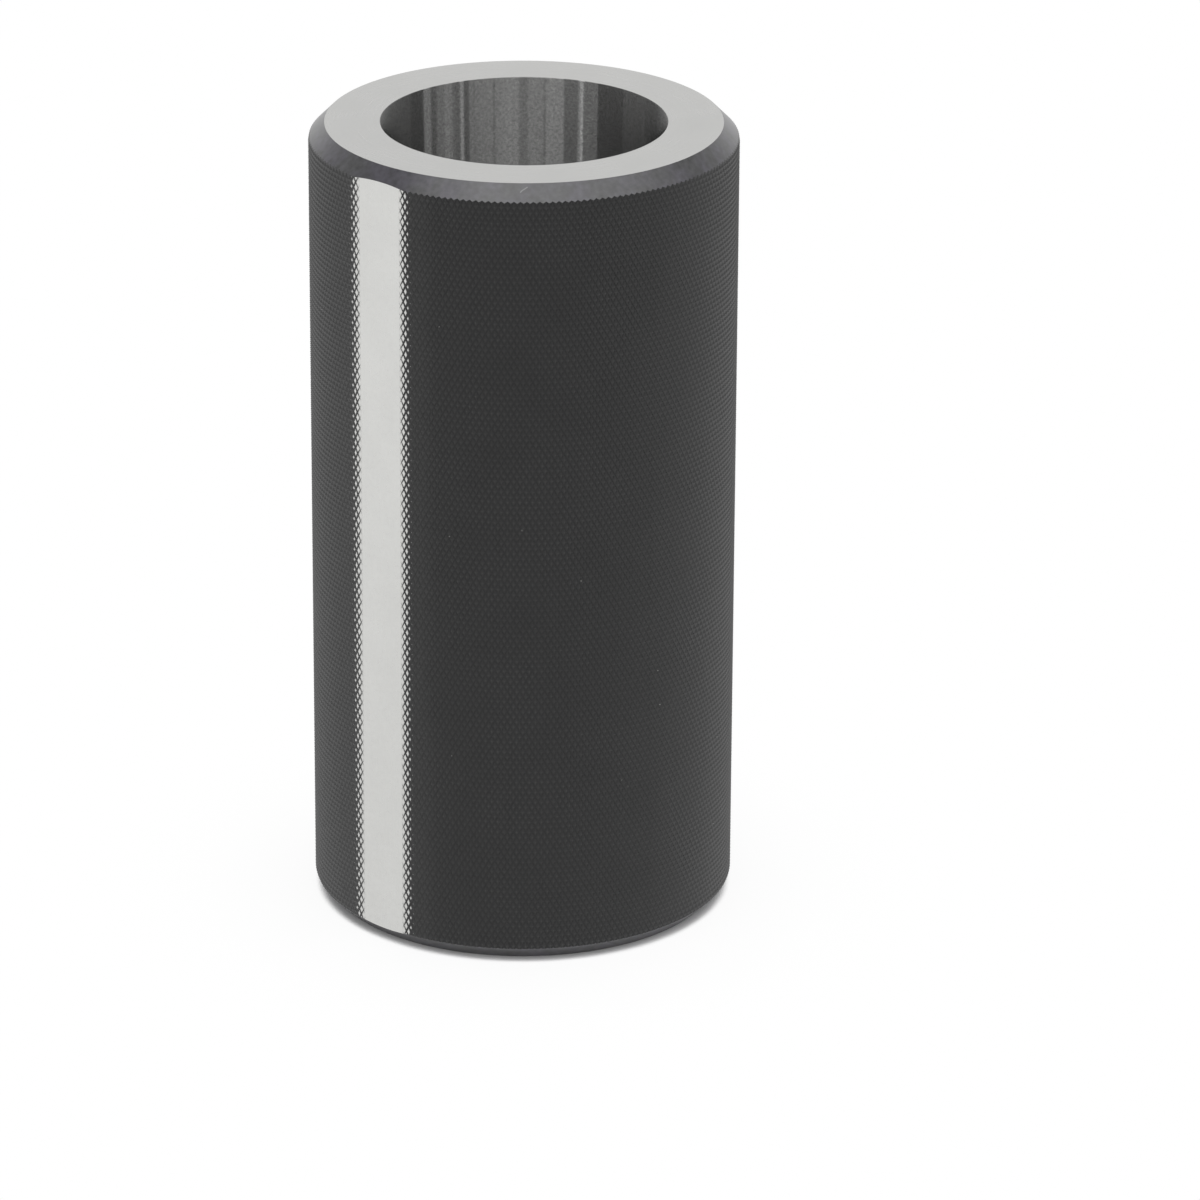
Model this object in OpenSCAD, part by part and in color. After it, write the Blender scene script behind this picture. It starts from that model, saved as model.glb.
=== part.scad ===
// Taper gauge sleeve: a plain, heavy cylinder of hardened steel with a slow
// taper ground right through it. The outside is knurled and blackened all
// over; the two end faces, the socket and a narrow flat down the front are
// ground bright afterwards. It stands on its small end, so the gauge plane,
// where the socket is widest, is the top face.

/* [Socket] */
// Diameter of the socket at the gauge plane
gauge_d = 63.348; // [55:0.001:70]
// Rate of taper: the length over which the diameter shrinks by 1 mm
taper_rate = 19.18; // [15:0.001:40]
// Width of the break round each mouth of the socket
mouth_break = 0.1; // [0.05:0.05:1]

/* [Body] */
// Outside diameter over the points of the knurl
body_d = 95.2; // [88:0.1:150]
// Length over the two ground end faces
body_len = 182; // [100:1:240]
// Width of the 45 degree chamfer at the top
top_chamfer = 3.6; // [0.5:0.1:5]
// Width of the 45 degree chamfer at the foot
foot_chamfer = 3.6; // [0.5:0.1:5]

/* [Marking flat] */
// Depth of the flat below the points of the knurl
flat_depth = 0.82; // [0.2:0.01:2.5]
// Direction the flat faces, turned about the axis from the front
flat_turn = 0; // [0:1:359]

/* [Finish] */
// Colour of the blackened, knurled skin
black_finish = "#2b2c2f"; // [#2b2c2f, #1c1c1e, #3a3a3c]
// Colour of the ground surfaces
ground_finish = "#c9c9c6"; // [#c9c9c6, #b5b7ba, #d8d8d4]

/* [Hidden] */
$fn = 240;
body_r = body_d / 2;
// The skin that stands past each finished face and is ground away
stock = 1;

// Radius of the socket at height z, which widens evenly up to the gauge plane
function socket_r(z) = (gauge_d - (body_len - z) / taper_rate) / 2;

// The turned cylinder, its chamfers carried on into the stock at both ends
module blank() {
    rotate_extrude() polygon([
        [0, -stock],
        [body_r - foot_chamfer - stock, -stock],
        [body_r, foot_chamfer],
        [body_r, body_len - top_chamfer],
        [body_r - top_chamfer - stock, body_len + stock],
        [0, body_len + stock],
    ]);
}

// What is ground off one end, from height z up
module end_stock(z) {
    translate([0, 0, z]) cylinder(h = 2 * stock, d = body_d);
}

// The taper right through, opened by the small break at both mouths
module socket() {
    top_r = socket_r(body_len);
    foot_r = socket_r(0);
    rotate_extrude() polygon([
        [0, -stock],
        [foot_r + mouth_break + stock, -stock],
        [socket_r(mouth_break), mouth_break],
        [socket_r(body_len - mouth_break), body_len - mouth_break],
        [top_r + mouth_break + stock, body_len + stock],
        [0, body_len + stock],
    ]);
}

// The slab that grinding the flat takes off the front
module flat_slab() {
    rotate([0, 0, flat_turn])
        translate([-body_r, -body_d, -stock])
            cube([body_d, body_r + flat_depth, body_len + 2 * stock]);
}

module sleeve() {
    difference() {
        color(black_finish) blank();
        color(ground_finish) {
            end_stock(body_len);
            end_stock(-2 * stock);
            socket();
            flat_slab();
        }
    }
}

sleeve();
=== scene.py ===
# Taper gauge sleeve: one piece of steel, knurled and blackened all over,
# then ground bright on its end faces, in its socket and on its flat
import math

import bmesh
import bpy
from mathutils import Matrix, Vector


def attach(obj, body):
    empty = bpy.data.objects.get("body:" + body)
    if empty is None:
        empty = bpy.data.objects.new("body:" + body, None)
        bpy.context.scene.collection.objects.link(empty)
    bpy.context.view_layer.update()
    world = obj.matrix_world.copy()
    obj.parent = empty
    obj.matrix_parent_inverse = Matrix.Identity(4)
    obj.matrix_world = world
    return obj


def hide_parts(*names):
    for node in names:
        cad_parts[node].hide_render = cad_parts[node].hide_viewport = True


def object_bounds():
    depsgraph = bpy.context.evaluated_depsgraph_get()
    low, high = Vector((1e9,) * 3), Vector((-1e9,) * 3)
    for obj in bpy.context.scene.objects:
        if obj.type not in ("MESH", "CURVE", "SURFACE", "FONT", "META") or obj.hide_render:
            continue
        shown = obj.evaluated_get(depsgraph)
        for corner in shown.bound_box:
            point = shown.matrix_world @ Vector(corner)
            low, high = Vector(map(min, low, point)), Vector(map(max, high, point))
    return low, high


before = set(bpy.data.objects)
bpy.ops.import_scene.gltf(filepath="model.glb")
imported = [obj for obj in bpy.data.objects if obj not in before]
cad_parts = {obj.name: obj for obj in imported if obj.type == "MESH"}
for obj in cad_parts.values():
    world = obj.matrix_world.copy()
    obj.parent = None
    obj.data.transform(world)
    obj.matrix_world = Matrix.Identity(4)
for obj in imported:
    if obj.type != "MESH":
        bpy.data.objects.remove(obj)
cadLow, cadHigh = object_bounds()
mm = 0.001
print("frame loaded")

# where the camera stands, turned from the flat's own direction
photoView = {
    "azimuth": math.radians(41.93),
    "distance": 1452.53 * mm,  # level distance from the sleeve's axis
    "height": 648.34 * mm,
    "yaw": 0.0119344,
    "pitch": 0.3798772,
    "roll": 0.0060194,
    "lens": 207.45,
    "sensor": 36,
}
towardsCamera = Vector((math.sin(photoView["azimuth"]), -math.cos(photoView["azimuth"]), 0))


def addCamera():
    camera = bpy.data.objects.new("camera", bpy.data.cameras.new("camera"))
    bpy.context.scene.collection.objects.link(camera)
    camera.data.sensor_width = photoView["sensor"]
    camera.data.lens = photoView["lens"]
    place = towardsCamera * photoView["distance"] + Vector((0, 0, photoView["height"]))
    turn = Matrix.Rotation(photoView["azimuth"] - photoView["yaw"], 4, "Z")
    tilt = Matrix.Rotation(math.pi / 2 - photoView["pitch"], 4, "X")
    roll = Matrix.Rotation(photoView["roll"], 4, "Z")
    camera.matrix_world = Matrix.Translation(place) @ turn @ tilt @ roll
    bpy.context.scene.camera = camera


addCamera()
print("camera placed")


def addNode(tree, kind, values=None, links=None, **settings):
    node = tree.nodes.new(kind)
    for name, value in settings.items():
        setattr(node, name, value)
    for socket, value in (values or {}).items():
        node.inputs[socket].default_value = value
    for socket, source in (links or {}).items():
        tree.links.new(source, node.inputs[socket])
    return node


def combine(tree, operation, first, second):
    node = addNode(tree, "ShaderNodeMath", operation=operation)
    for socket, part in ((0, first), (1, second)):
        if isinstance(part, (int, float)):
            node.inputs[socket].default_value = part
        else:
            tree.links.new(part, node.inputs[socket])
    return node.outputs[0]


def along(tree, vector, direction):
    node = addNode(tree, "ShaderNodeVectorMath", {1: direction}, {0: vector}, operation="DOT_PRODUCT")
    return node.outputs["Value"]


def addRamp(tree, value, start, end, low=0, high=1):
    reach = {"From Min": start, "From Max": end, "To Min": low, "To Max": high}
    ramp = addNode(tree, "ShaderNodeMapRange", reach, {"Value": value}, interpolation_type="SMOOTHSTEP")
    return ramp.outputs["Result"]


# overall sizes and the flat come from the frame
sleeve = {
    "length": cadHigh.z,
    "radius": min(-cadLow.x, cadHigh.x, cadHigh.y),  # over the points of the knurl
    "flatDistance": -cadLow.y,
    "gaugeDiameter": 63.348 * mm,
    "taperRate": 19.18,
    "mouthBreak": 0.1 * mm,
    "chamfer": 3.6 * mm,
}
knurl = {
    "teeth": 215,
    "pitch": 2.41 * mm,  # along the axis
    "depth": 0.45 * mm,
    "topPoint": 176.4 * mm,  # the highest whole point on the flat's middle line
    "sharpFrom": math.radians(20),  # an edge that turns by more than this stays sharp
}
finishes = ["blackKnurl", "blackTurned", "groundFace", "groundSocket", "groundFlat"]
halfTooth = math.pi / knurl["teeth"]
weld = 0.002 * mm


def polar(radius, angle, height):
    # the angle runs from the middle of the flat
    return Vector((radius * math.sin(angle), -radius * math.cos(angle), height))


def socketRadius(height):
    return (sleeve["gaugeDiameter"] - (sleeve["length"] - height) / sleeve["taperRate"]) / 2


def everything(slab):
    return slab.verts[:] + slab.edges[:] + slab.faces[:]


def cutOff(slab, point, outwards):
    # takes away what lies past the plane, and gives the edges of the cut
    cut = bmesh.ops.bisect_plane(slab, geom=everything(slab), dist=weld / 10, plane_co=point,
                                 plane_no=outwards, clear_outer=True)
    return [part for part in cut["geom_cut"] if isinstance(part, bmesh.types.BMEdge)]


def rollKnurl(slab):
    # half a tooth wide, and a little past both chamfers
    # every other corner is a point, and the rest lie in the grooves
    halfPitch = knurl["pitch"] / 2
    below = math.ceil((knurl["topPoint"] - sleeve["chamfer"]) / halfPitch) + 1
    above = math.ceil((sleeve["length"] - sleeve["chamfer"] - knurl["topPoint"]) / halfPitch) + 1
    bmesh.ops.create_grid(slab, x_segments=1, y_segments=below + above, size=1)
    for vert in slab.verts:
        column = round((vert.co.x + 1) / 2)
        row = round((vert.co.y + 1) / 2 * (below + above)) - below
        groove = knurl["depth"] if (column + row) % 2 else 0
        height = knurl["topPoint"] + row * halfPitch
        vert.co = polar(sleeve["radius"] - groove, column * halfTooth, height)
    bmesh.ops.triangulate(slab, faces=slab.faces[:], quad_method="SHORT_EDGE")


def ringAt(slab, radius, height):
    return [
        edge for edge in slab.edges
        if all(abs(v.co.xy.length - radius) < weld and abs(v.co.z - height) < weld for v in edge.verts)
    ]


def carry(slab, edges, radius, height, finish):
    # pulls the rim out to a ring, where only the slab's two side corners are left
    made = bmesh.ops.extrude_edge_only(slab, edges=edges)["geom"]
    rim = [part for part in made if isinstance(part, bmesh.types.BMVert)]
    for face in made:
        if isinstance(face, bmesh.types.BMFace):
            face.material_index = finishes.index(finish)
            face.smooth = finish != "groundFace"
    for vert in rim:
        angle = math.atan2(vert.co.x, -vert.co.y)
        vert.co = polar(radius, 0 if angle < halfTooth / 2 else halfTooth, height)
    bmesh.ops.remove_doubles(slab, verts=rim, dist=weld)
    return ringAt(slab, radius, height)


def turnChamfer(slab, top):
    # the knurl is cut at 45 degrees, which leaves it saw-toothed, and the cut is carried to the end face
    height = sleeve["length"] if top else 0
    radius = sleeve["radius"] - sleeve["chamfer"]
    outwards = polar(1, halfTooth / 2, 1 if top else -1)
    corner = polar(radius * math.cos(halfTooth / 2), halfTooth / 2, height)
    return carry(slab, cutOff(slab, corner, outwards), radius, height, "blackTurned")


def grindSection(slab, rim):
    # over the top face, down through the socket and out over the foot
    top, lip = sleeve["length"], sleeve["mouthBreak"]
    stations = [
        (socketRadius(top) + lip, top, "groundFace"),
        (socketRadius(top - lip), top - lip, "groundSocket"),
        (socketRadius(lip), lip, "groundSocket"),
        (socketRadius(0) + lip, 0, "groundSocket"),
        (sleeve["radius"] - sleeve["chamfer"], 0, "groundFace"),
    ]
    for radius, height, finish in stations:
        rim = carry(slab, rim, radius, height, finish)


def spinRound(slab):
    bmesh.ops.mirror(slab, geom=everything(slab), matrix=Matrix.Identity(4), merge_dist=weld, axis="X")
    copies = knurl["teeth"] - 1
    bmesh.ops.spin(slab, geom=everything(slab), cent=(0, 0, 0), axis=(0, 0, 1), dvec=(0, 0, 0), steps=copies,
                   angle=2 * halfTooth * copies, use_duplicate=True, use_merge=False)
    bmesh.ops.remove_doubles(slab, verts=slab.verts[:], dist=weld)


def grindFlat(slab):
    # takes the points off the knurl down the front; each cut point is left as a bright diamond
    edges = cutOff(slab, (0, -sleeve["flatDistance"], 0), (0, -1, 0))
    filled = bmesh.ops.holes_fill(slab, edges=edges, sides=0)["faces"]
    for face in filled:
        face.material_index = finishes.index("groundFlat")
        face.smooth = False
    bmesh.ops.triangulate(slab, faces=filled)


def buildSleeve():
    slab = bmesh.new()
    rollKnurl(slab)
    turnChamfer(slab, top=False)
    grindSection(slab, turnChamfer(slab, top=True))
    bmesh.ops.remove_doubles(slab, verts=slab.verts[:], dist=weld)
    spinRound(slab)
    print("knurl rolled:", len(slab.faces), "faces")
    grindFlat(slab)
    bmesh.ops.recalc_face_normals(slab, faces=slab.faces[:])
    loose = [edge for edge in slab.edges if not edge.is_manifold]
    print("flat ground:", len(slab.faces), "faces,", len(loose), "open edges")
    mesh = bpy.data.meshes.new("sleeve")
    slab.to_mesh(mesh)
    slab.free()
    mesh.set_sharp_from_angle(angle=knurl["sharpFrom"])
    piece = bpy.data.objects.new("knurled_sleeve", mesh)
    bpy.context.scene.collection.objects.link(piece)
    return piece


def newFinish(name):
    material = bpy.data.materials.new(name)
    material.use_nodes = True
    tree = material.node_tree
    place = addNode(tree, "ShaderNodeTexCoord").outputs["Object"]
    return material, tree, tree.nodes["Principled BSDF"], place


def addNoise(tree, place, size, detail=2, stretch=(1, 1, 1)):
    # size is about one blotch, drawn out along each axis by its stretch; the result lies round 0
    scale = [1 / (size * part) for part in stretch]
    shrunk = addNode(tree, "ShaderNodeVectorMath", {1: scale}, {0: place}, operation="MULTIPLY").outputs[0]
    noise = addNode(tree, "ShaderNodeTexNoise", {"Scale": 1, "Detail": detail}, {"Vector": shrunk})
    return combine(tree, "SUBTRACT", noise.outputs["Fac"], 0.5)


def addUp(tree, level, parts):
    # each part is a link and how much of it is added
    for part, amount in parts:
        level = combine(tree, "ADD", level, combine(tree, "MULTIPLY", part, amount))
    return level


def varyRoughness(tree, shader, level, changes):
    tree.links.new(addUp(tree, level, changes), shader.inputs["Roughness"])


def shadeColor(tree, color, share):
    node = addNode(tree, "ShaderNodeVectorMath", links={"Scale": share}, operation="SCALE")
    if isinstance(color, tuple):
        node.inputs[0].default_value = color
    else:
        tree.links.new(color, node.inputs[0])
    return node.outputs[0]


def mixColor(tree, share, first, second):
    mix = addNode(tree, "ShaderNodeMix", data_type="RGBA")
    tree.links.new(share, mix.inputs[0])
    for socket, color in ((6, first), (7, second)):
        if isinstance(color, tuple):
            mix.inputs[socket].default_value = (*color, 1)
        else:
            tree.links.new(color, mix.inputs[socket])
    return mix.outputs[2]


def fromAxis(tree, place):
    # the direction straight out from the axis, and the distance from it
    level = addNode(tree, "ShaderNodeVectorMath", {1: (1, 1, 0)}, {0: place}, operation="MULTIPLY").outputs[0]
    outwards = addNode(tree, "ShaderNodeVectorMath", links={0: level}, operation="NORMALIZE")
    radius = addNode(tree, "ShaderNodeVectorMath", links={0: level}, operation="LENGTH")
    return outwards.outputs[0], radius.outputs["Value"]


def roughen(tree, shader, height, distance, normal=None):
    bump = addNode(tree, "ShaderNodeBump", {"Distance": distance, "Strength": 0.5}, {"Height": height})
    if normal:
        tree.links.new(normal, bump.inputs["Normal"])
    tree.links.new(bump.outputs[0], shader.inputs["Normal"])


def scaleVector(tree, vector, share):
    return addNode(tree, "ShaderNodeVectorMath", {"Scale": share}, {0: vector}, operation="SCALE").outputs[0]


def bluntNormal(tree, outwards, share):
    normal = addNode(tree, "ShaderNodeNewGeometry").outputs["Normal"]
    parts = {0: scaleVector(tree, normal, 1 - share), 1: scaleVector(tree, outwards, share)}
    both = addNode(tree, "ShaderNodeVectorMath", links=parts, operation="ADD").outputs[0]
    return addNode(tree, "ShaderNodeVectorMath", links={0: both}, operation="NORMALIZE").outputs[0]


knurlFinish = {
    "groove": (0.012, 0.012, 0.0125),  # painted shade: the black is made darker at the bottom of the grooves, where they lie in shade
    "flank": (0.0155, 0.0155, 0.0155),
    "rubbed": (0.06, 0.06, 0.058),  # points that handling has polished a little
    "rubDepth": 0.1 * mm,
    "rubbedFrom": -0.2,  # of the clouds and blotches, where the points are rubbed
    "rubbedTo": 0.25,
    "rubbedPolish": 0.15,  # how much smoother they are there
    "ior": 1.5,
    "roughness": 0.5,
    "roughnessSpread": 0.3,
    "blunt": 0.32,  # how far the rounded points and grooves even the light out
    "flatGlare": (0.027, 0.027, 0.027),  # painted glare: the black is made lighter beside the bright flat, as the flat's glare would light it
    "flatGlareReach": 2.2 * mm,  # how far back from the flat's plane
    "bareFrom": 7.2 * mm,  # how far out from its middle line the smallest diamonds begin
    "bareFade": 0.4 * mm,
    "bareRim": 0.11 * mm,  # bare steel on the points' sides, this far behind the ground flat
    "bareColor": (0.6, 0.6, 0.59),
    "sheen": 0.42,  # how much lighter the black looks where it turns away
    "sheenColor": (0.3, 0.3, 0.3, 1),
    "sheenRoughness": 0.38,
    "sheenFocus": 1.5,  # the higher, the closer to the sides it keeps
    "cloudSize": 14 * mm,
    "blotchSize": 2.2 * mm,
    "grainSize": 0.12 * mm,
    "grainDepth": 0.02 * mm,
    "cloudShade": 0.5,
    "blotchShade": 0.5,
    "grainShade": 0.6,
    "lintColor": (0.22, 0.22, 0.21),
    "lintSpacing": 7 * mm,
    "lintSize": 0.16 * mm,
    "lintEdge": 0.3,  # how softly each fleck ends
}


def blackKnurl():
    look = knurlFinish
    material, tree, shader, place = newFinish("blackKnurl")
    outwards, radius = fromAxis(tree, place)
    cloud = addNoise(tree, place, look["cloudSize"])
    blotch = addNoise(tree, place, look["blotchSize"], detail=3)
    grain = addNoise(tree, place, look["grainSize"])
    # painted shade: the colour goes from the darker groove black at the bottom to the flank black higher up
    grooveShadeFade = addRamp(tree, radius, sleeve["radius"] - knurl["depth"], sleeve["radius"] - knurl["depth"] / 2)
    color = mixColor(tree, grooveShadeFade, look["groove"], look["flank"])
    shades = [(cloud, look["cloudShade"]), (blotch, look["blotchShade"]), (grain, look["grainShade"])]
    color = shadeColor(tree, color, addUp(tree, 1, shades))

    point = addRamp(tree, radius, sleeve["radius"] - look["rubDepth"], sleeve["radius"])
    handled = addUp(tree, 0, [(cloud, 1), (blotch, 1)])
    rubbed = combine(tree, "MULTIPLY", point, addRamp(tree, handled, look["rubbedFrom"], look["rubbedTo"]))
    color = mixColor(tree, rubbed, color, look["rubbed"])
    lint = addNode(tree, "ShaderNodeTexVoronoi", {"Scale": 1 / look["lintSpacing"]}, {"Vector": place})
    fleck = look["lintSize"] / look["lintSpacing"]
    edge = fleck * look["lintEdge"]
    color = mixColor(tree, addRamp(tree, lint.outputs["Distance"], fleck + edge, fleck - edge), color,
                     look["lintColor"])

    parts = addNode(tree, "ShaderNodeSeparateXYZ", links={0: place}).outputs
    side = combine(tree, "ABSOLUTE", parts["X"], 0)
    behind = combine(tree, "ADD", parts["Y"], sleeve["flatDistance"])
    # painted glare: a lighter black close to the bright flat
    color = mixColor(tree, addRamp(tree, behind, look["flatGlareReach"], 0), color, look["flatGlare"])
    bare = combine(tree, "MULTIPLY", addRamp(tree, behind, look["bareRim"], look["bareRim"] / 2),
                   addRamp(tree, side, look["bareFrom"], look["bareFrom"] + look["bareFade"]))
    color = mixColor(tree, bare, color, look["bareColor"])
    tree.links.new(color, shader.inputs["Base Color"])
    tree.links.new(bare, shader.inputs["Metallic"])
    shader.inputs["IOR"].default_value = look["ior"]
    spread = look["roughnessSpread"]
    changes = [(blotch, spread), (grain, spread), (rubbed, -look["rubbedPolish"])]
    varyRoughness(tree, shader, look["roughness"], changes)
    roughen(tree, shader, grain, look["grainDepth"], bluntNormal(tree, outwards, look["blunt"]))

    # the black shines more where the round of the sleeve turns away
    away = addNode(tree, "ShaderNodeLayerWeight", {"Blend": 0.5}, {"Normal": outwards}).outputs["Facing"]
    share = combine(tree, "MULTIPLY", combine(tree, "POWER", away, look["sheenFocus"]), look["sheen"])
    sheen = addNode(tree, "ShaderNodeBsdfAnisotropic",
                    {"Color": look["sheenColor"], "Roughness": look["sheenRoughness"], "Anisotropy": 0})
    mix = addNode(tree, "ShaderNodeMixShader", links={0: share, 1: shader.outputs[0], 2: sheen.outputs[0]})
    tree.links.new(mix.outputs[0], tree.nodes["Material Output"].inputs["Surface"])
    return material


turnedFinish = {
    "color": (0.05, 0.05, 0.0525),
    "tint": (0.051, 0.048, 0.060),  # the oxide is bluer in places
    "ior": 1.95,
    "roughness": 0.3,
    "roughnessSpread": 0.06,
    "feed": 0.11 * mm,  # of the lathe tool, which leaves a line at each turn
    "lineLength": 400,  # in feeds
    "lineShade": 0.15,
    "lineRoughness": 0.02,
    "blotchSize": 1.3 * mm,
    "blotchShade": 2,
    "patchSize": 5.2 * mm,
    "patchShade": 0.8,
    "tintEdge": 0.15,
    "scratchColor": (0.21, 0.21, 0.21),
    "scratchWidth": 0.2 * mm,
    # a nick in the oxide of the top chamfer: degrees from the middle of the flat, depth below the top
    "scratch": [(42.8, 0.7 * mm), (41.3, 1.3 * mm), (41.0, 1.55 * mm)],
}


def scratchMask(tree, place):
    # every part of the mask falls off with the distance from one straight stroke
    points = [
        polar(sleeve["radius"] - sleeve["chamfer"] + depth, math.radians(degrees), sleeve["length"] - depth)
        for degrees, depth in turnedFinish["scratch"]
    ]
    width = turnedFinish["scratchWidth"]
    mask = 0
    for start, end in zip(points, points[1:]):
        stroke = end - start
        offset = addNode(tree, "ShaderNodeVectorMath", {1: start}, {0: place}, operation="SUBTRACT")
        share = along(tree, offset.outputs[0], stroke / stroke.length_squared)
        share = addNode(tree, "ShaderNodeClamp", links={"Value": share}).outputs[0]
        parts = {0: offset.outputs[0], 1: shadeColor(tree, tuple(stroke), share)}
        gap = addNode(tree, "ShaderNodeVectorMath", links=parts, operation="DISTANCE").outputs["Value"]
        mask = combine(tree, "MAXIMUM", mask, addRamp(tree, gap, width, width / 4))
    return mask


def blackTurned():
    look = turnedFinish
    material, tree, shader, place = newFinish("blackTurned")
    blotch = addNoise(tree, place, look["blotchSize"], detail=3)
    patch = addNoise(tree, place, look["patchSize"])
    lines = addNoise(tree, place, look["feed"], detail=1, stretch=(look["lineLength"], look["lineLength"], 1))
    bluer = addRamp(tree, patch, -look["tintEdge"], look["tintEdge"])
    color = mixColor(tree, bluer, look["color"], look["tint"])
    shades = [(blotch, look["blotchShade"]), (patch, look["patchShade"]), (lines, look["lineShade"])]
    color = shadeColor(tree, color, addUp(tree, 1, shades))
    color = mixColor(tree, scratchMask(tree, place), color, look["scratchColor"])
    tree.links.new(color, shader.inputs["Base Color"])
    shader.inputs["IOR"].default_value = look["ior"]
    changes = [(blotch, look["roughnessSpread"]), (lines, look["lineRoughness"])]
    varyRoughness(tree, shader, look["roughness"], changes)
    return material


faceFinish = {
    "color": (0.545, 0.545, 0.533),
    "roughness": 0.3,
    "lineSize": 0.14 * mm,  # rings left by the grinding wheel
    "lineWander": 0.01,  # how soon they change on their way round
    "lineShade": 0.09,
    "lineRoughness": 0.15,
    "lineDepth": 0.001 * mm,
    "cloudSize": 9 * mm,
    "cloudShade": 0.06,
    "cloudRoughness": 0.1,
}


def groundFace():
    look = faceFinish
    material, tree, shader, place = newFinish("groundFace")
    radius = fromAxis(tree, place)[1]
    rings = addNode(tree, "ShaderNodeCombineXYZ", links={"Z": radius})
    wander = (look["lineWander"], look["lineWander"], 0)
    around = addNode(tree, "ShaderNodeVectorMath", {1: wander}, {0: place}, operation="MULTIPLY")
    parts = {0: rings.outputs[0], 1: around.outputs[0]}
    ringPlace = addNode(tree, "ShaderNodeVectorMath", links=parts, operation="ADD").outputs[0]
    lines = addNoise(tree, ringPlace, look["lineSize"])
    cloud = addNoise(tree, place, look["cloudSize"])
    shade = addUp(tree, 1, [(lines, look["lineShade"]), (cloud, look["cloudShade"])])
    tree.links.new(shadeColor(tree, look["color"], shade), shader.inputs["Base Color"])
    shader.inputs["Metallic"].default_value = 1
    changes = [(lines, look["lineRoughness"]), (cloud, look["cloudRoughness"])]
    varyRoughness(tree, shader, look["roughness"], changes)
    roughen(tree, shader, lines, look["lineDepth"])
    return material


socketFinish = {
    # painted shade: darker than the end face's ground steel, standing in for the shade inside the bore
    "color": (0.43, 0.43, 0.425),
    "roughness": 0.225,
    "anisotropy": 0.918,  # the light is drawn out along the socket, across its grain
    "roughnessSpread": 0.01,
    "dashSize": 0.16 * mm,
    "dashStretch": 6,
    "dashShade": 0.35,
    "blotchSize": 0.55 * mm,
    "blotchShade": 0.85,
}


def groundSocket():
    look = socketFinish
    material, tree, plainShader, place = newFinish("groundSocket")
    tree.nodes.remove(plainShader)  # it can't draw the light out as far as this one needs
    stretch = (look["dashStretch"], look["dashStretch"], 1)
    dashes = addNoise(tree, place, look["dashSize"], detail=1, stretch=stretch)
    blotch = addNoise(tree, place, look["blotchSize"], detail=3)
    tangent = addNode(tree, "ShaderNodeTangent", direction_type="RADIAL", axis="Z").outputs[0]
    shade = addUp(tree, 1, [(dashes, look["dashShade"]), (blotch, look["blotchShade"])])
    # the colour carries the painted shade of the inside of the bore
    color = shadeColor(tree, look["color"], shade)
    spread = look["roughnessSpread"]
    roughness = addUp(tree, look["roughness"], [(dashes, spread), (blotch, spread)])
    shader = addNode(tree, "ShaderNodeBsdfAnisotropic",
                     {"Anisotropy": look["anisotropy"], "Roughness": look["roughness"]},
                     {"Color": color, "Roughness": roughness, "Tangent": tangent})
    tree.links.new(shader.outputs[0], tree.nodes["Material Output"].inputs["Surface"])
    return material


flatFinish = {
    "color": (0.69, 0.69, 0.672),
    "roughness": 0.3,
    "lineSize": 0.11 * mm,  # lengthwise lines of the surface grinder
    "lineLength": 60,  # in widths of a line
    "lineShade": 0.08,
    "lineRoughness": 0.15,
    "lineDepth": 0.001 * mm,
    "blotchSize": 1.3 * mm,
    "blotchShade": 0.12,
    "blotchRoughness": 0.1,
    "cloudSize": 7.8 * mm,
    "cloudShade": 0.08,
    "traceFrom": 5.5 * mm,  # traces of the knurl's grooves, at this distance from the middle and out
    "traceTo": 6.6 * mm,
    "traceWidth": 0.7,  # half of it, in steps of the knurl
    "traceShade": 0.375,
    "traceShadeFoot": 0.125,  # they are darker by this much more at the foot
    "paintedFootShade": 0.08,  # painted shade: the flat is made a little darker towards the foot, where it reflects the shaded floor
    "footReach": 0.8,  # in shares of the length
}


def grooveTraces(tree, place):
    look = flatFinish
    # the grooves run where the steps round the sleeve and the steps along it add up to an odd number
    parts = addNode(tree, "ShaderNodeSeparateXYZ", links={0: place}).outputs
    angle = combine(tree, "ARCTAN2", parts["X"], combine(tree, "MULTIPLY", parts["Y"], -1))
    column = combine(tree, "DIVIDE", angle, halfTooth)
    height = combine(tree, "SUBTRACT", parts["Z"], knurl["topPoint"])
    row = combine(tree, "DIVIDE", height, knurl["pitch"] / 2)
    groove = 0
    for operation in ("ADD", "SUBTRACT"):
        steps = combine(tree, operation, column, row)
        offset = combine(tree, "PINGPONG", combine(tree, "ADD", steps, 1), 1)
        groove = combine(tree, "MAXIMUM", groove, addRamp(tree, offset, look["traceWidth"], 0))
    side = combine(tree, "ABSOLUTE", parts["X"], 0)
    return combine(tree, "MULTIPLY", groove, addRamp(tree, side, look["traceFrom"], look["traceTo"]))


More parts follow.
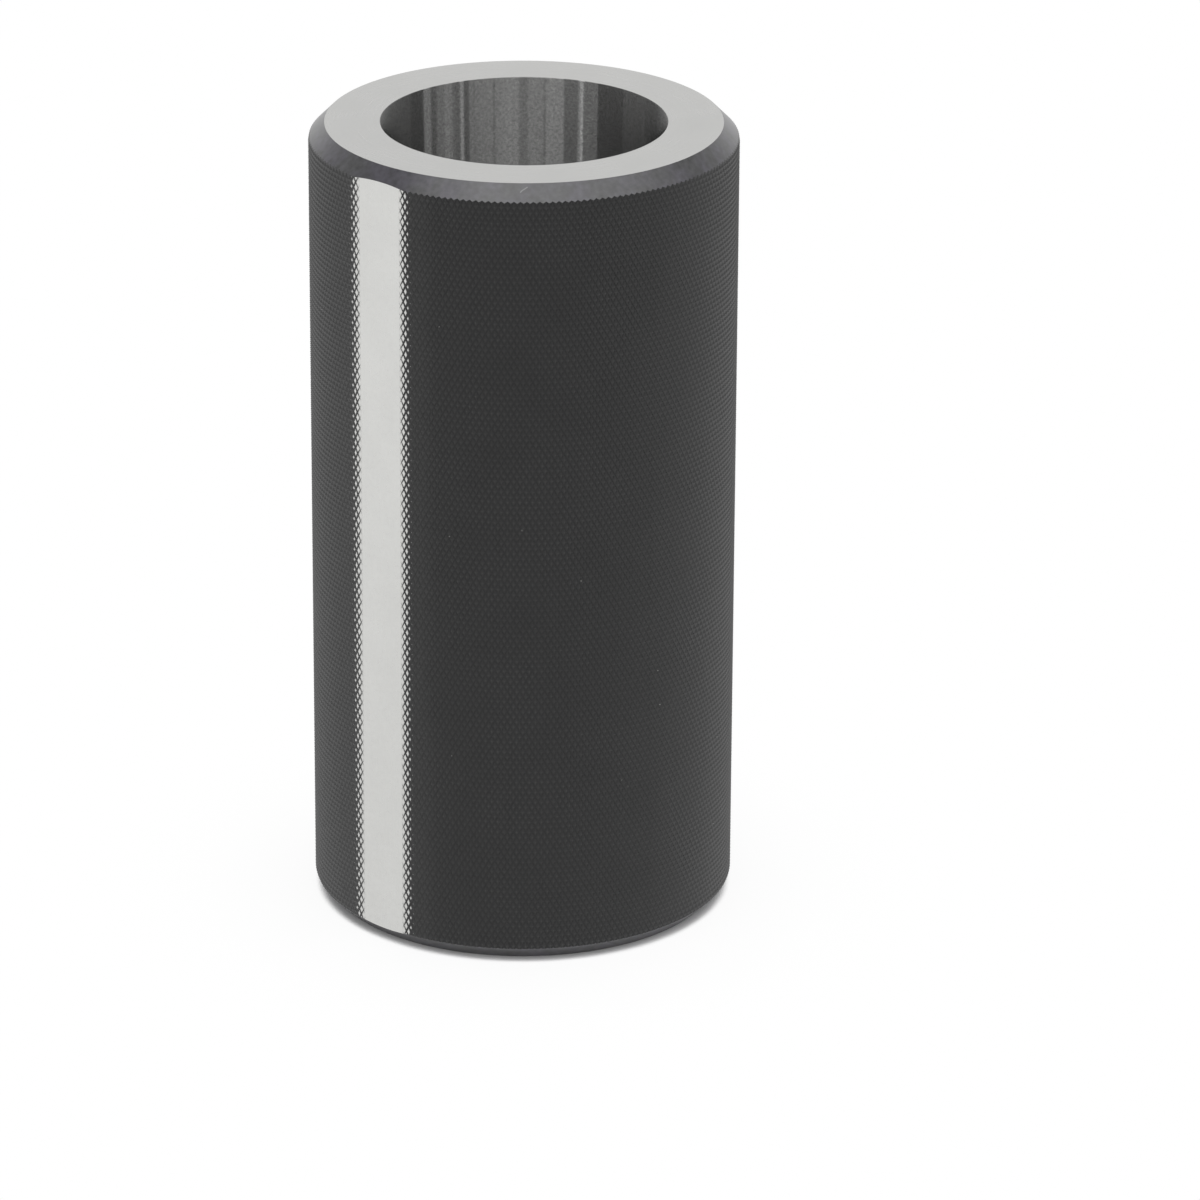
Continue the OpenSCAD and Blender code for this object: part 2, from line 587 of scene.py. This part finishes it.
def groundFlat():
    look = flatFinish
    material, tree, shader, place = newFinish("groundFlat")
    lines = addNoise(tree, place, look["lineSize"], stretch=(1, 1, look["lineLength"]))
    blotch = addNoise(tree, place, look["blotchSize"], detail=3)
    cloud = addNoise(tree, place, look["cloudSize"])
    height = addNode(tree, "ShaderNodeSeparateXYZ", links={0: place}).outputs["Z"]
    foot = addRamp(tree, height, sleeve["length"] * look["footReach"], 0)
    traceShade = addUp(tree, look["traceShade"], [(foot, look["traceShadeFoot"])])
    traces = combine(tree, "MULTIPLY", grooveTraces(tree, place), traceShade)
    # the part that goes with the foot is painted shade, standing in for the shaded floor reflected near the
    # foot
    shade = addUp(tree, 1, [
        (lines, look["lineShade"]), (blotch, look["blotchShade"]), (cloud, look["cloudShade"]),
        (foot, -look["paintedFootShade"]), (traces, -1),
    ])
    tree.links.new(shadeColor(tree, look["color"], shade), shader.inputs["Base Color"])
    shader.inputs["Metallic"].default_value = 1
    changes = [(lines, look["lineRoughness"]), (blotch, look["blotchRoughness"])]
    varyRoughness(tree, shader, look["roughness"], changes)
    roughen(tree, shader, lines, look["lineDepth"])
    return material


piece = buildSleeve()
for finish in (blackKnurl, blackTurned, groundFace, groundSocket, groundFlat):
    piece.data.materials.append(finish())
print("finishes laid on")
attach(piece, "root")
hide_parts("sleeve")


studio = {
    "floorSize": 6.0,
    "floorColor": (0.88, 0.88, 0.88, 1),
    "shade": 0.08,  # how grey the floor is close to the sleeve
    "floorDrop": 0.02 * mm,  # a hair below the foot
    "contactReach": 3 * mm,  # the floor stays dark this far round the foot
    "contactEdge": (0.4, 0.75),  # open share of the sky where the dark ends
    "shadeReach": 60 * mm,
    "shadeEdge": (0.45, 0.98),
    "frontLevel": 0.5,  # the room behind the camera, beside the sleeve and behind it
    "sideLevel": 0.35,
    "backLevel": 0.55,
    "frontEdge": (0.55, 0.95),  # where one goes over into the other, 1 is straight at the camera
    "backEdge": (-0.2, -0.7),
    "paperLevel": 0.97,  # the white paper that hangs behind the sleeve
    "paperWidth": 0.77,  # half its width and its height, in shares of its distance
    "paperHeight": 0.62,
    "paperSideEdge": 0.3,
    "paperTopEdge": 0.15,
    "glow": 0.28,  # a low, soft light from the left
    "glowAt": -62,
    "glowEdge": (0.3, 0.95),  # from nothing to full, 1 is straight at it
    "glowTop": (0.3, 0.15),
    "lampLevel": 1.4,
    "lampFade": -0.35,  # change of level towards the right
    "lampFadeTo": 50,  # degrees
    "lampLow": 0.38,  # the soft boxes overhead begin at this height, as the sine of it
    "lampLowEdge": 0.08,
    "lampBack": -0.45,  # and end behind the sleeve
    "lampBackEdge": 0.15,
    "lampLeft": -31.2,  # their ends, in degrees round the sleeve where they show
    "lampRight": 45.1,
    "ribEdge": 0.2,  # how softly each rib and gap ends
    # dark ribs and bright gaps of the soft boxes: degrees, half width, change of level
    "ribs": [
        (42.8, 1.8, 0.68), (39.3, 1.0, -0.25), (35.9, 1.6, 0.2), (33.5, 4.5, 0.15), (32.9, 1.2, 0.2),
        (28.4, 1.9, -0.4), (26.0, 0.7, 0.8), (23.9, 1.1, -0.65), (20.6, 0.3, -0.25), (12.2, 0.4, -0.5),
        (3.5, 1.5, -0.08), (0.2, 1.9, -0.58), (-5.5, 3.6, -0.3), (-8.3, 0.4, -0.4), (-12.5, 3.0, -0.02),
        (-19.3, 3.0, -0.72), (-23.9, 0.6, 1.25), (-27.9, 3.3, -0.52),
    ],
    # the same, only overhead: with the height that they begin at, as its sine
    "overhead": [(-9, 7, 0.5, 0.84), (3, 5, 0.2, 0.84), (41, 7, -0.68, 0.62)],
    "corners": [(48.6, 4.0, -0.1), (-37.6, 6.3, -0.14), (-64, 6.0, -0.07)],  # the dark room beside them
}
toTheRight = Vector((-towardsCamera.y, towardsCamera.x, 0))


def addFloor():
    slab = bmesh.new()
    bmesh.ops.create_grid(slab, x_segments=1, y_segments=1, size=studio["floorSize"] / 2)
    mesh = bpy.data.meshes.new("floor")
    slab.to_mesh(mesh)
    slab.free()
    floor = bpy.data.objects.new("floor", mesh)
    floor.location.z = -studio["floorDrop"]
    bpy.context.scene.collection.objects.link(floor)
    material = bpy.data.materials.new("floor")
    material.use_nodes = True
    tree = material.node_tree
    tree.nodes.clear()
    path = addNode(tree, "ShaderNodeLightPath")
    seen = combine(tree, "MAXIMUM", path.outputs["Is Camera Ray"], path.outputs["Is Glossy Ray"])
    nook = addNode(tree, "ShaderNodeAmbientOcclusion", {"Distance": studio["contactReach"]}, samples=8)
    around = addNode(tree, "ShaderNodeAmbientOcclusion", {"Distance": studio["shadeReach"]}, samples=8)
    tight = addRamp(tree, nook.outputs["AO"], *studio["contactEdge"])
    wide = addRamp(tree, around.outputs["AO"], *studio["shadeEdge"], 1 - studio["shade"], 1)
    share = combine(tree, "MULTIPLY", seen, combine(tree, "MULTIPLY", tight, wide))
    paper = addNode(tree, "ShaderNodeBsdfDiffuse", {"Color": studio["floorColor"]})
    glow = addNode(tree, "ShaderNodeEmission", {"Color": (1, 1, 1, 1), "Strength": 1})
    mix = addNode(tree, "ShaderNodeMixShader", links={0: share, 1: paper.outputs[0], 2: glow.outputs[0]})
    addNode(tree, "ShaderNodeOutputMaterial", links={"Surface": mix.outputs[0]})
    mesh.materials.append(material)


def addBands(tree, degrees, level, bands):
    edge = studio["ribEdge"]
    for middle, width, change in bands:
        offset = combine(tree, "ABSOLUTE", combine(tree, "SUBTRACT", degrees, middle), 0)
        band = addRamp(tree, offset, width + edge, max(width - edge, 0), 0, change)
        level = combine(tree, "ADD", level, band)
    return level


def lightStudio():
    world = bpy.data.worlds.new("studio")
    bpy.context.scene.world = world
    world.use_nodes = True
    tree = world.node_tree
    tree.nodes.clear()
    ray = addNode(tree, "ShaderNodeTexCoord").outputs["Generated"]
    near = along(tree, ray, towardsCamera)
    right = along(tree, ray, toTheRight)
    up = along(tree, ray, (0, 0, 1))
    # the side of the sleeve, in degrees, on which a mirror would show this part of the room
    drop = math.atan2(photoView["height"] - sleeve["length"], photoView["distance"])
    ahead = combine(tree, "ADD", near, math.cos(drop))
    degrees = combine(tree, "DIVIDE", combine(tree, "ARCTAN2", right, ahead), math.radians(1))

    away = combine(tree, "MAXIMUM", combine(tree, "MULTIPLY", near, -1), 0.01)
    sideways = combine(tree, "ABSOLUTE", combine(tree, "DIVIDE", right, away), 0)
    upwards = combine(tree, "DIVIDE", up, away)
    width, sideEdge = studio["paperWidth"], studio["paperSideEdge"]
    height, topEdge = studio["paperHeight"], studio["paperTopEdge"]
    paper = combine(tree, "MULTIPLY", addRamp(tree, sideways, width + sideEdge, width - sideEdge),
                    addRamp(tree, upwards, height + topEdge, height - topEdge))

    side = studio["sideLevel"]
    room = addRamp(tree, near, *studio["frontEdge"], side, studio["frontLevel"])
    behind = addRamp(tree, near, *studio["backEdge"], 0, studio["backLevel"] - side)
    room = addBands(tree, degrees, combine(tree, "ADD", room, behind), studio["corners"])
    turned = math.radians(studio["glowAt"])
    glowDirection = towardsCamera * math.cos(turned) + toTheRight * math.sin(turned)
    glow = combine(tree, "MULTIPLY", addRamp(tree, along(tree, ray, glowDirection), *studio["glowEdge"]),
                   addRamp(tree, up, *studio["glowTop"], 0, studio["glow"]))
    room = combine(tree, "ADD", room, glow)
    brighter = combine(tree, "SUBTRACT", studio["paperLevel"], room)
    tent = combine(tree, "ADD", room, combine(tree, "MULTIPLY", paper, brighter))

    fade = addRamp(tree, degrees, 0, studio["lampFadeTo"], 0, studio["lampFade"])
    lamp = addBands(tree, degrees, combine(tree, "ADD", studio["lampLevel"], fade), studio["ribs"])
    lowEdge, backEdge, endEdge = studio["lampLowEdge"], studio["lampBackEdge"], studio["ribEdge"]
    for *band, start in studio["overhead"]:
        reach = addRamp(tree, up, start - lowEdge, start + lowEdge)
        above = combine(tree, "MULTIPLY", addBands(tree, degrees, 0, [band]), reach)
        lamp = combine(tree, "ADD", lamp, above)
    for part, end, edge in (
        (up, studio["lampLow"], lowEdge),
        (near, studio["lampBack"], backEdge),
        (degrees, studio["lampLeft"], endEdge),
        (degrees, studio["lampRight"], -endEdge),
    ):
        lamp = combine(tree, "MULTIPLY", lamp, addRamp(tree, part, end - edge, end + edge))
    level = combine(tree, "MAXIMUM", tent, lamp)
    path = addNode(tree, "ShaderNodeLightPath")
    studioSky = addNode(tree, "ShaderNodeBackground", {"Color": (1, 1, 1, 1)}, {"Strength": level})
    white = addNode(tree, "ShaderNodeBackground", {"Color": (1, 1, 1, 1), "Strength": 1})
    mix = addNode(tree, "ShaderNodeMixShader",
                  links={0: path.outputs["Is Camera Ray"], 1: studioSky.outputs[0], 2: white.outputs[0]})
    addNode(tree, "ShaderNodeOutputWorld", links={"Surface": mix.outputs[0]})


addFloor()
lightStudio()
bpy.context.scene.view_settings.view_transform = "Standard"
print("studio lit")
